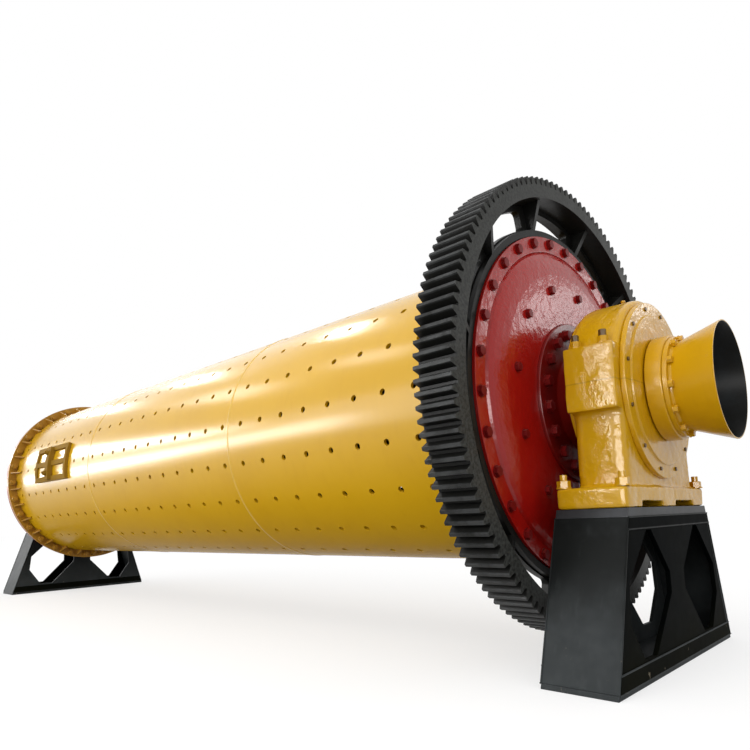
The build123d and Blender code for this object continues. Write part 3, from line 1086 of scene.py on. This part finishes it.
@dataclass(frozen=True)
class DrumEnd:
    """One end of the drum: head, trunnion, collar, spout cone and shell flange."""

    end: End
    head_face: float = 3.550
    head_radius: float = 1.024
    spigot_radius: float = 0.914
    spigot_depth: float = 0.030
    wall: float = 0.070
    inside_radius: float = 0.600
    groove_radius: float = 0.931
    groove_depth: float = 0.010
    dish_radius: float = 0.723
    dish_face: float = 3.588
    recess_radius: float = 0.481
    seat: float = 3.566
    bore: float = 0.190
    journal: float = 0.250
    journal_fillet: float = 0.040
    trunnion_flange: float = 0.480
    trunnion_face: float = 3.606
    collar_back: float = 4.089
    collar_face: float = 4.172
    collar_radius: float = 0.285
    cone_flange: float = 0.272
    cone_start: float = 4.196
    cone_neck: float = 0.236
    cone_weld: float = 0.012
    cone_mouth: float = 0.311
    mouth: float = 4.422
    cone_plate: float = 0.010
    flange_plate: float = 0.040
    steps: int = 128
    head_bolts: BoltRing = BoltRing(Bolt(0.050, 0.018, 0.004), 0.982, 30, 2.4, 3)
    dish_bolts: BoltRing = BoltRing(Bolt(0.044, 0.018, 0.004), 0.690, 12, 20.0, 5)
    neck_bolts: BoltRing = BoltRing(Bolt(0.056, 0.028, 0.005), 0.410, 18, 9.0, 7)
    cone_bolts: BoltRing = BoltRing(Bolt(0.034, 0.020, 0.003), 0.256, 12, 5.0, 9)
    flange_nuts: BoltRing = BoltRing(Bolt(0.066, 0.034, 0.006, 0.018), 0.982, 30, 2.4, 11)

    def hand_over(
        self, piece: Piece, word: str, finishes: Sequence[Finish], slot: str, node: str = ""
    ) -> None:
        """Turn a drive end piece to this end and finish it.

        Args:
            piece: The piece.
            word: Its name, without the end's word.
            finishes: Its finishes, by material index.
            slot: The record's material slot.
            node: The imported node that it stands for, without the end's word.
        """
        nodes = (self.end.named(node),) if node else ()
        piece.mirrored(self.end).finish(self.end.named(word), finishes, Body.DRUM, slot, nodes)

    def dish_curve(self) -> Profile:
        """The rounded rise of the dish, from its groove to its flat.

        Returns:
            Its corners as (x, radius).
        """
        low = self.head_face - self.groove_depth / 2
        rise = self.dish_face - low
        fall = self.groove_radius - self.groove_depth / 2 - self.dish_radius
        quarter = [math.radians(a) for a in (0, 18, 36, 54, 72, 90)]
        return [(low + rise * math.sin(a), self.dish_radius + fall * math.cos(a)) for a in quarter]

    def head(self) -> None:
        """The dished cast head."""
        back = MILL.head_back - self.spigot_depth
        profile = (
            (back, self.spigot_radius),
            (MILL.head_back, self.spigot_radius),
            (MILL.head_back, self.head_radius),
            (self.head_face, self.head_radius),
            (self.head_face, self.groove_radius),
            (self.head_face - self.groove_depth, self.groove_radius),
            *self.dish_curve(),
            (self.dish_face, self.recess_radius),
            (self.seat, self.recess_radius),
            (self.seat, self.bore),
            (self.seat - self.wall, self.bore),
            (self.seat - self.wall, self.inside_radius),
            (back, self.spigot_radius - self.wall),
        )
        piece = Piece().turned(profile, self.steps, 0.005).lined(lambda out, x: x < MILL.head_back - 0.001)
        self.hand_over(piece, "head_casting", (HEAD_RED, DARK_LINING), "head_red", "head")

    def trunnion(self) -> None:
        """The hollow trunnion with its bolting flange."""
        profile = (
            (self.seat, self.bore),
            (self.collar_face, self.bore),
            (self.collar_face, self.journal),
            (self.trunnion_face + self.journal_fillet, self.journal),
            (self.trunnion_face, self.journal + self.journal_fillet),
            (self.trunnion_face, self.trunnion_flange),
            (self.seat, self.trunnion_flange),
        )
        piece = Piece().turned(profile, self.steps, 0.006, 3).lined(lambda out, x: out < -0.5)
        self.hand_over(piece, "trunnion_casting", (TRUNNION_SHADED_RED, DARK_LINING), "trunnion_red", "trunnion")

    def spout(self) -> None:
        """The trunnion's collar and the spout cone bolted to it."""
        collar = (
            (self.collar_back, self.journal),
            (self.collar_face, self.journal),
            (self.collar_face, self.collar_radius),
            (self.collar_back, self.collar_radius),
        )
        piece = Piece().turned(collar, self.steps, 0.006, 3)
        self.hand_over(piece, "collar_ring", (SPOUT_YELLOW,), "spout_yellow", "trunnion_collar")
        cone = (
            (self.collar_face, self.cone_neck - self.cone_plate),
            (self.cone_start, self.cone_neck - self.cone_plate),
            (self.mouth, self.cone_mouth - self.cone_plate),
            (self.mouth, self.cone_mouth),
            (self.cone_start + self.cone_weld, self.cone_neck + self.cone_weld / 3),
            (self.cone_start, self.cone_neck + self.cone_weld),
            (self.cone_start, self.cone_flange),
            (self.collar_face, self.cone_flange),
        )
        piece = Piece().turned(cone, self.steps, 0.003).lined(lambda out, x: out < -0.2)
        self.hand_over(piece, "spout_cone_plate", (SPOUT_YELLOW, DARK_LINING), "spout_yellow", "spout_cone")

    def shell_flange(self) -> None:
        """The shell's bolting flange and its gussets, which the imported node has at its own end."""
        node = self.end.named("shell_flange")
        piece = Piece.of_nodes(node).softened(0.002, 1)
        piece.finish(f"{node}_ring", (FLANGE_OCHRE,), Body.DRUM, "flange_ochre", (node,))

    def bolts(self) -> None:
        """The rings of bolts on the head, the trunnion flange and the spout, and the flange's nuts."""
        head = Piece().add(*self.head_bolts.placed(self.head_face))
        head.add(*self.dish_bolts.placed(self.dish_face))
        self.hand_over(head, "head_bolts", (BOLT_DIRT_AND_SHADE_RED,), "head_red")
        neck = Piece().add(*self.neck_bolts.placed(self.trunnion_face))
        self.hand_over(neck, "trunnion_bolts", (BOLT_DIRT_AND_SHADE_RED,), "trunnion_red")
        cone = Piece().add(*self.cone_bolts.placed(self.cone_start))
        self.hand_over(cone, "spout_bolts", (SPOUT_YELLOW,), "spout_yellow")
        start = MILL.drive_shell_end if self.end is End.DRIVE else MILL.head_back
        nuts = Piece().add(*self.flange_nuts.placed(start - self.flange_plate, -1))
        self.hand_over(nuts, "flange_nuts", (FLANGE_OCHRE,), "flange_ochre")

    def build(self) -> None:
        """Build the whole end."""
        self.head()
        self.trunnion()
        self.spout()
        self.shell_flange()
        self.bolts()


@dataclass(frozen=True)
class Bearing:
    """A trunnion bearing: lumpy cast housing, bush, end covers and their bolts."""

    end: End
    cover_bore: float = 0.256
    cover_boss: float = 0.010
    boss_setback: float = 0.071
    ledge: float = 0.190
    ear_depth: float = 0.145
    ear_width: float = 0.120
    sole_top: float = 0.105
    voxel: float = 0.009
    coarse_voxel: float = 0.018
    smoothing: int = 5
    lump: float = 0.0026
    steps: int = 96
    cap_bolt: Bolt = Bolt(across=0.046, height=0.030, washer=0.008)
    cap_bolt_x: float = 0.073
    cap_bolt_y: float = 0.513
    cap_stud: Bolt = Bolt(across=0.034, height=0.034)
    cover_bolts: BoltRing = BoltRing(Bolt(0.020, 0.008), 0.450, 12, 16.5, 13)
    sole_bolt: Bolt = Bolt(across=0.060, height=0.034, washer=0.008, stud=0.030)
    sole_bolt_y: float = 0.555
    sole_bolt_insets: tuple[float, float] = (0.030, 0.028)
    oil_steps: Sequence[tuple[float, float, float]] = (
        (0.016, -0.010, 0.012), (0.010, 0.012, 0.030), (0.013, 0.030, 0.042)
    )

    def hand_over(self, piece: Piece, word: str, finish: Finish, node: str = "") -> None:
        """Turn a drive end piece to this end and finish it.

        Args:
            piece: The piece.
            word: Its name, without the end's word.
            finish: Its finish.
            node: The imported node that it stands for, without the end's word.
        """
        nodes = (self.end.named(node),) if node else ()
        name = self.end.named(word)
        piece.mirrored(self.end).finish(name, (finish,), Body.SUPPORTS, "bearing_yellow", nodes)

    def casting(self) -> None:
        """The housing, with the fillets and lumps of a real casting."""
        nodes = (self.end.named("bearing_base"), self.end.named("bearing_cap"))
        size = self.voxel
        piece = Piece.of_nodes(*nodes).add(self.ears()).recast(size, self.smoothing, self.lump)
        name = self.end.named("bearing_casting")
        piece.finish(name, (BEARING_YELLOW,), Body.SUPPORTS, "bearing_yellow", nodes, weighted=False)

    def ears(self) -> bmesh.types.BMesh:
        """The square block on each side of the bush, where cap and base bolt together.

        Returns:
            Both blocks in one mesh.
        """
        low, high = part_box(self.end.named("bearing_cap"))
        size = Vector((high.x - low.x, self.ear_width, self.ledge + self.ear_depth))
        height = MILL.height + (self.ledge - self.ear_depth) / 2
        bm = bmesh.new()
        for side in (-1, 1):
            place = Matrix.Translation(((low.x + high.x) / 2, side * (high.y - self.ear_width / 2), height))
            bmesh.ops.create_cube(bm, size=1.0, matrix=place @ Matrix.Diagonal((*size, 1)))
        return bm

    def covers(self) -> None:
        """The end covers, the outer one with a raised boss, and the bush between them."""
        low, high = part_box("drive_bearing_outer_cover")
        radius = (high.y - low.y) / 2
        outer = (
            (low.x, self.cover_bore),
            (high.x, self.cover_bore),
            (high.x, radius - self.boss_setback),
            (high.x - self.cover_boss, radius - self.boss_setback),
            (high.x - self.cover_boss, radius),
            (low.x, radius),
        )
        piece = Piece().turned(outer, self.steps, 0.006, 3)
        self.hand_over(piece, "outer_cover_casting", BEARING_YELLOW, "bearing_outer_cover")
        low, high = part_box("drive_bearing_inner_cover")
        inner = ((low.x, self.cover_bore), (high.x, self.cover_bore), (high.x, radius), (low.x, radius))
        piece = Piece().turned(inner, self.steps, 0.004)
        self.hand_over(piece, "inner_cover_casting", BEARING_YELLOW, "bearing_inner_cover")
        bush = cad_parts[self.end.named("bearing_bush")].data
        bush.materials.clear()
        bush.materials.append(painted(BUSH_METAL))

    def bolts(self) -> None:
        """Cap bolts on the ledges, cover bolts and sole bolts."""
        cap_low, cap_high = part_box("drive_bearing_cap")
        middle = (cap_low.x + cap_high.x) / 2
        sole_low, sole_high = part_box("drive_bearing_base")
        left, right = self.sole_bolt_insets
        seats = []
        soles = []
        for side in (-1, 1):
            for x in (middle - self.cap_bolt_x, middle + self.cap_bolt_x):
                seats.append(Matrix.Translation((x, side * self.cap_bolt_y, MILL.height + self.ledge)))
            for x in (sole_low.x + left, sole_high.x - right):
                soles.append(Matrix.Translation((x, side * self.sole_bolt_y, sole_low.z + self.sole_top)))
        yellow = Piece().add(self.cap_bolt.mesh(), seats).add(self.sole_bolt.mesh(), soles)
        self.hand_over(yellow, "bearing_bolts", BEARING_YELLOW)
        raised = Matrix.Translation((0, 0, self.cap_bolt.height + self.cap_bolt.washer))
        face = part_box("drive_bearing_outer_cover")[1].x - self.cover_boss
        dark = Piece().add(self.cap_stud.mesh(), [raised @ seat for seat in seats])
        self.hand_over(dark.add(*self.cover_bolts.placed(face)), "dark_bolts", DARK_NUT)

    def oil_fitting(self) -> None:
        """The small filler nipple on top of the cap."""
        low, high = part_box("drive_bearing_cap")
        bm = bmesh.new()
        for radius, bottom, top in self.oil_steps:
            place = Matrix.Translation(((low.x + high.x) / 2, 0, high.z + (bottom + top) / 2))
            add_bar(bm, radius, top - bottom, place, 16, 0.85)
        self.hand_over(Piece().add(bm).softened(0.0015, 1), "oil_fitting", BEARING_YELLOW)

    def build(self) -> None:
        """Build the whole bearing."""
        self.casting()
        self.covers()
        self.bolts()
        self.oil_fitting()


@dataclass(frozen=True)
class Pedestal:
    """A welded plate pedestal with its doubling strips and weld beads."""

    end: End
    rounding: float = 0.003
    strip: float = 0.006
    strip_reach: float = 0.994
    neck_strip: float = 0.056
    foot_strip: float = 0.075
    bead: float = 0.0045

    def corner(self, x: float, z: float, side: int) -> Vector:
        """A point on the sloping edge of an end plate.

        Args:
            x: Where the plate is along the mill.
            z: The height.
            side: 1 for the edge towards +Y and -1 for the other.

        Returns:
            The point.
        """
        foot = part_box("drive_pedestal_base_plate")[1]
        neck_low, neck_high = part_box("drive_pedestal_top_plate")
        return Vector((x, side * (foot.y + (neck_high.y - foot.y) * z / neck_low.z), z))

    def end_strip(self, x: float, low: float, high: float) -> bmesh.types.BMesh:
        """A flat strip across an end plate.

        Args:
            x: Where the plate is along the mill.
            low: The strip's lower edge.
            high: The strip's upper edge.

        Returns:
            The strip.
        """
        bm = bmesh.new()
        bmesh.ops.create_cube(bm, size=1.0)
        for vert in bm.verts:
            z = high if vert.co.z > 0 else low
            edge = self.corner(x, z, 1 if vert.co.y > 0 else -1)
            vert.co = Vector((x + math.copysign(self.strip, vert.co.x), edge.y * self.strip_reach, z))
        return bm

    def weld(self, start: Vector, stop: Vector) -> bmesh.types.BMesh:
        """A weld bead.

        Args:
            start: Where it starts.
            stop: Where it ends.

        Returns:
            The bead.
        """
        along = stop - start
        bm = bmesh.new()
        turn = along.to_track_quat("Z", "Y").to_matrix().to_4x4()
        add_bar(bm, self.bead, along.length, Matrix.Translation((start + stop) / 2) @ turn, 8)
        return bm

    def trim(self) -> None:
        """The strips across both end plates and the beads along them."""
        low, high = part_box("drive_pedestal_top_plate")
        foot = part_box("drive_pedestal_base_plate")[1].z
        strips = Piece()
        beads = Piece()
        for x, out in ((low.x, -1), (high.x, 1)):
            lift = Vector((out * self.strip / 2, 0, 0))
            for bottom, top in ((low.z - self.neck_strip, low.z), (foot, foot + self.foot_strip)):
                strips.add(self.end_strip(x, bottom, top))
                for z in (bottom, top):
                    beads.add(self.weld(self.corner(x, z, -1) + lift, self.corner(x, z, 1) + lift))
            for side in (-1, 1):
                beads.add(self.weld(self.corner(x, foot, side), self.corner(x, low.z, side)))
        for piece, word, finish in (
            (strips.softened(0.0015, 1), "pedestal_strips", FRONT_PAINT),
            (beads, "pedestal_welds", PLATE_PAINT),
        ):
            name = self.end.named(word)
            piece.mirrored(self.end).finish(name, (finish,), Body.SUPPORTS, "pedestal_black")

    def build(self) -> None:
        """Soften the plates and add the trim."""
        self.trim()
        for word in ("base_plate", "inner_plate", "outer_plate", "left_side", "right_side", "top_plate"):
            node = self.end.named(f"pedestal_{word}")
            finish = {"outer_plate": FRONT_PAINT, "top_plate": EDGE_GLINT_PAINT}.get(word, PLATE_PAINT)
            piece = Piece.of_nodes(node).softened(self.rounding)
            piece.finish(f"{node}_steel", (finish,), Body.SUPPORTS, "pedestal_black", (node,))


@dataclass(frozen=True)
class Lamp:
    """A rectangular soft lamp that faces a point."""

    name: str
    place: tuple[float, float, float]
    target: tuple[float, float, float]
    width: float
    height: float
    radiance: float
    glint_only: bool = True

    def build(self) -> None:
        """Hang the lamp."""
        data = bpy.data.lights.new(self.name, "AREA")
        data.shape = "RECTANGLE"
        data.size = self.width
        data.size_y = self.height
        data.energy = self.radiance * math.pi * self.width * self.height
        made = bpy.data.objects.new(self.name, data)
        made.location = self.place
        look = Vector(self.target) - Vector(self.place)
        made.rotation_euler = look.to_track_quat("-Z", "Y").to_euler()
        made.visible_camera = False
        made.visible_diffuse = not self.glint_only
        bpy.context.scene.collection.objects.link(made)


@dataclass(frozen=True)
class Studio:
    """A white studio: floor, world light, lamps and the camera."""

    floor_half: float = 60.0
    floor_glow: float = 0.60
    floor_colour: Colour = (0.40, 0.40, 0.40)
    world_light: float = 1.0
    eye: tuple[float, float, float] = (5.224, -3.553, 0.807)
    turns: tuple[float, float, float] = (96.953, 1.947, 43.615)
    lens: float = 29.84
    shift: tuple[float, float] = (0.005, 0.091)

    def floor(self) -> None:
        """A white floor that keeps the mill's shadow."""
        bm = bmesh.new()
        bmesh.ops.create_grid(bm, x_segments=1, y_segments=1, size=self.floor_half)
        mesh = bpy.data.meshes.new("floor")
        bm.to_mesh(mesh)
        bm.free()
        g = Graph.of_material("floor")
        rays = g.node("ShaderNodeLightPath")
        seen = Wire(g, rays.outputs["Is Camera Ray"])
        for flag in ("Is Glossy Ray", "Is Transmission Ray"):
            seen = seen.most(Wire(g, rays.outputs[flag]))
        glow = g.wire("ShaderNodeEmission", None, {"Strength": seen * self.floor_glow})
        matt = g.wire("ShaderNodeBsdfDiffuse", None, {"Color": self.floor_colour})
        both = g.wire("ShaderNodeAddShader", None, {0: glow, 1: matt})
        g.node("ShaderNodeOutputMaterial", None, {"Surface": both})
        mesh.materials.append(g.owner)
        made = bpy.data.objects.new("floor", mesh)
        bpy.context.scene.collection.objects.link(made)

    def world(self) -> None:
        """A white world that lights the mill at a plain level and shows behind it."""
        world = bpy.data.worlds.new("studio")
        bpy.context.scene.world = world
        g = Graph(world)
        inputs = {"Color": (1.0, 1.0, 1.0), "Strength": self.world_light}
        light = g.wire("ShaderNodeBackground", None, inputs)
        g.node("ShaderNodeOutputWorld", None, {"Surface": light})

    def lamps(self) -> None:
        """Two rows of windows along one side, roof lights, near windows and broad fill lamps."""
        for lamp in (
            Lamp("low_windows", (-15.0, -6.0, 2.1), (-15.0, 0.0, 1.75), 25.0, 0.9, 12.0),
            Lamp("high_windows", (-21.0, -6.0, 6.2), (-8.0, 0.0, 2.0), 16.0, 1.2, 16.0),
            Lamp("roof_near", (-3.3, 0.75, 8.0), (2.4, -0.7, 2.0), 1.4, 0.45, 27.643),
            Lamp("roof_middle", (-8.8, 0.75, 8.0), (0.5667, -0.7, 2.0), 1.4, 0.45, 23.714),
            Lamp("roof_far", (-14.2, 0.75, 8.0), (-1.2333, -0.7, 2.0), 1.4, 0.45, 19.857),
            Lamp("bright_wall", (-24.0, -5.0, 4.0), (0.0, 0.0, 1.6), 20.0, 8.0, 1.5),
            Lamp("bright_roof", (-15.0, 3.0, 10.0), (0.0, 0.0, 2.0), 9.0, 12.0, 0.35),
            Lamp("side_near", (-3.5, -4.5, 8.0), (0.5, -0.5, 1.5), 1.8, 1.2, 5.0),
            Lamp("side_middle", (-8.5, -4.2, 8.0), (-1.0, -0.5, 1.5), 2.4, 1.4, 5.0),
            Lamp("near_window", (1.4, -6.0, 2.5), (3.0, 0.0, 1.5), 1.6, 1.6, 19.0),
            Lamp("doorway", (8.2, -6.4, 1.3), (4.0, -0.5, 1.2), 8.0, 2.4, 13.0),
            Lamp("far_window", (7.2, 7.0, 4.6), (3.6, 0.0, 2.0), 1.8, 0.8, 4.5),
            Lamp("key", (4.0, -6.5, 7.5), (2.0, 0.0, 1.2), 7.0, 4.0, 2.2, glint_only=False),
            Lamp("side", (-1.0, -9.5, 3.2), (0.0, 0.0, 1.3), 13.0, 4.2, 2.0, glint_only=False),
        ):
            lamp.build()

    def camera(self) -> None:
        """The camera where the photograph was taken from."""
        data = bpy.data.cameras.new("camera")
        data.sensor_width = 36.0
        data.lens = self.lens
        data.shift_x, data.shift_y = self.shift
        data.clip_start = 0.05
        data.clip_end = 300.0
        made = bpy.data.objects.new("camera", data)
        made.location = self.eye
        made.rotation_euler = Euler([math.radians(turn) for turn in self.turns], "XYZ")
        bpy.context.scene.collection.objects.link(made)
        bpy.context.scene.camera = made

    def build(self) -> None:
        """Build the studio."""
        bpy.context.scene.view_settings.view_transform = "Standard"
        self.floor()
        self.world()
        self.lamps()
        self.camera()


def main() -> None:
    """Build the studio and the whole mill."""
    logging.basicConfig(level=logging.INFO, format="%(message)s")
    Studio().build()
    Shell().build()
    Manhole().build()
    GirthGear().build()
    for end in End:
        DrumEnd(end).build()
        Bearing(end).build()
        Pedestal(end).build()


if __name__ == "__main__":
    main()
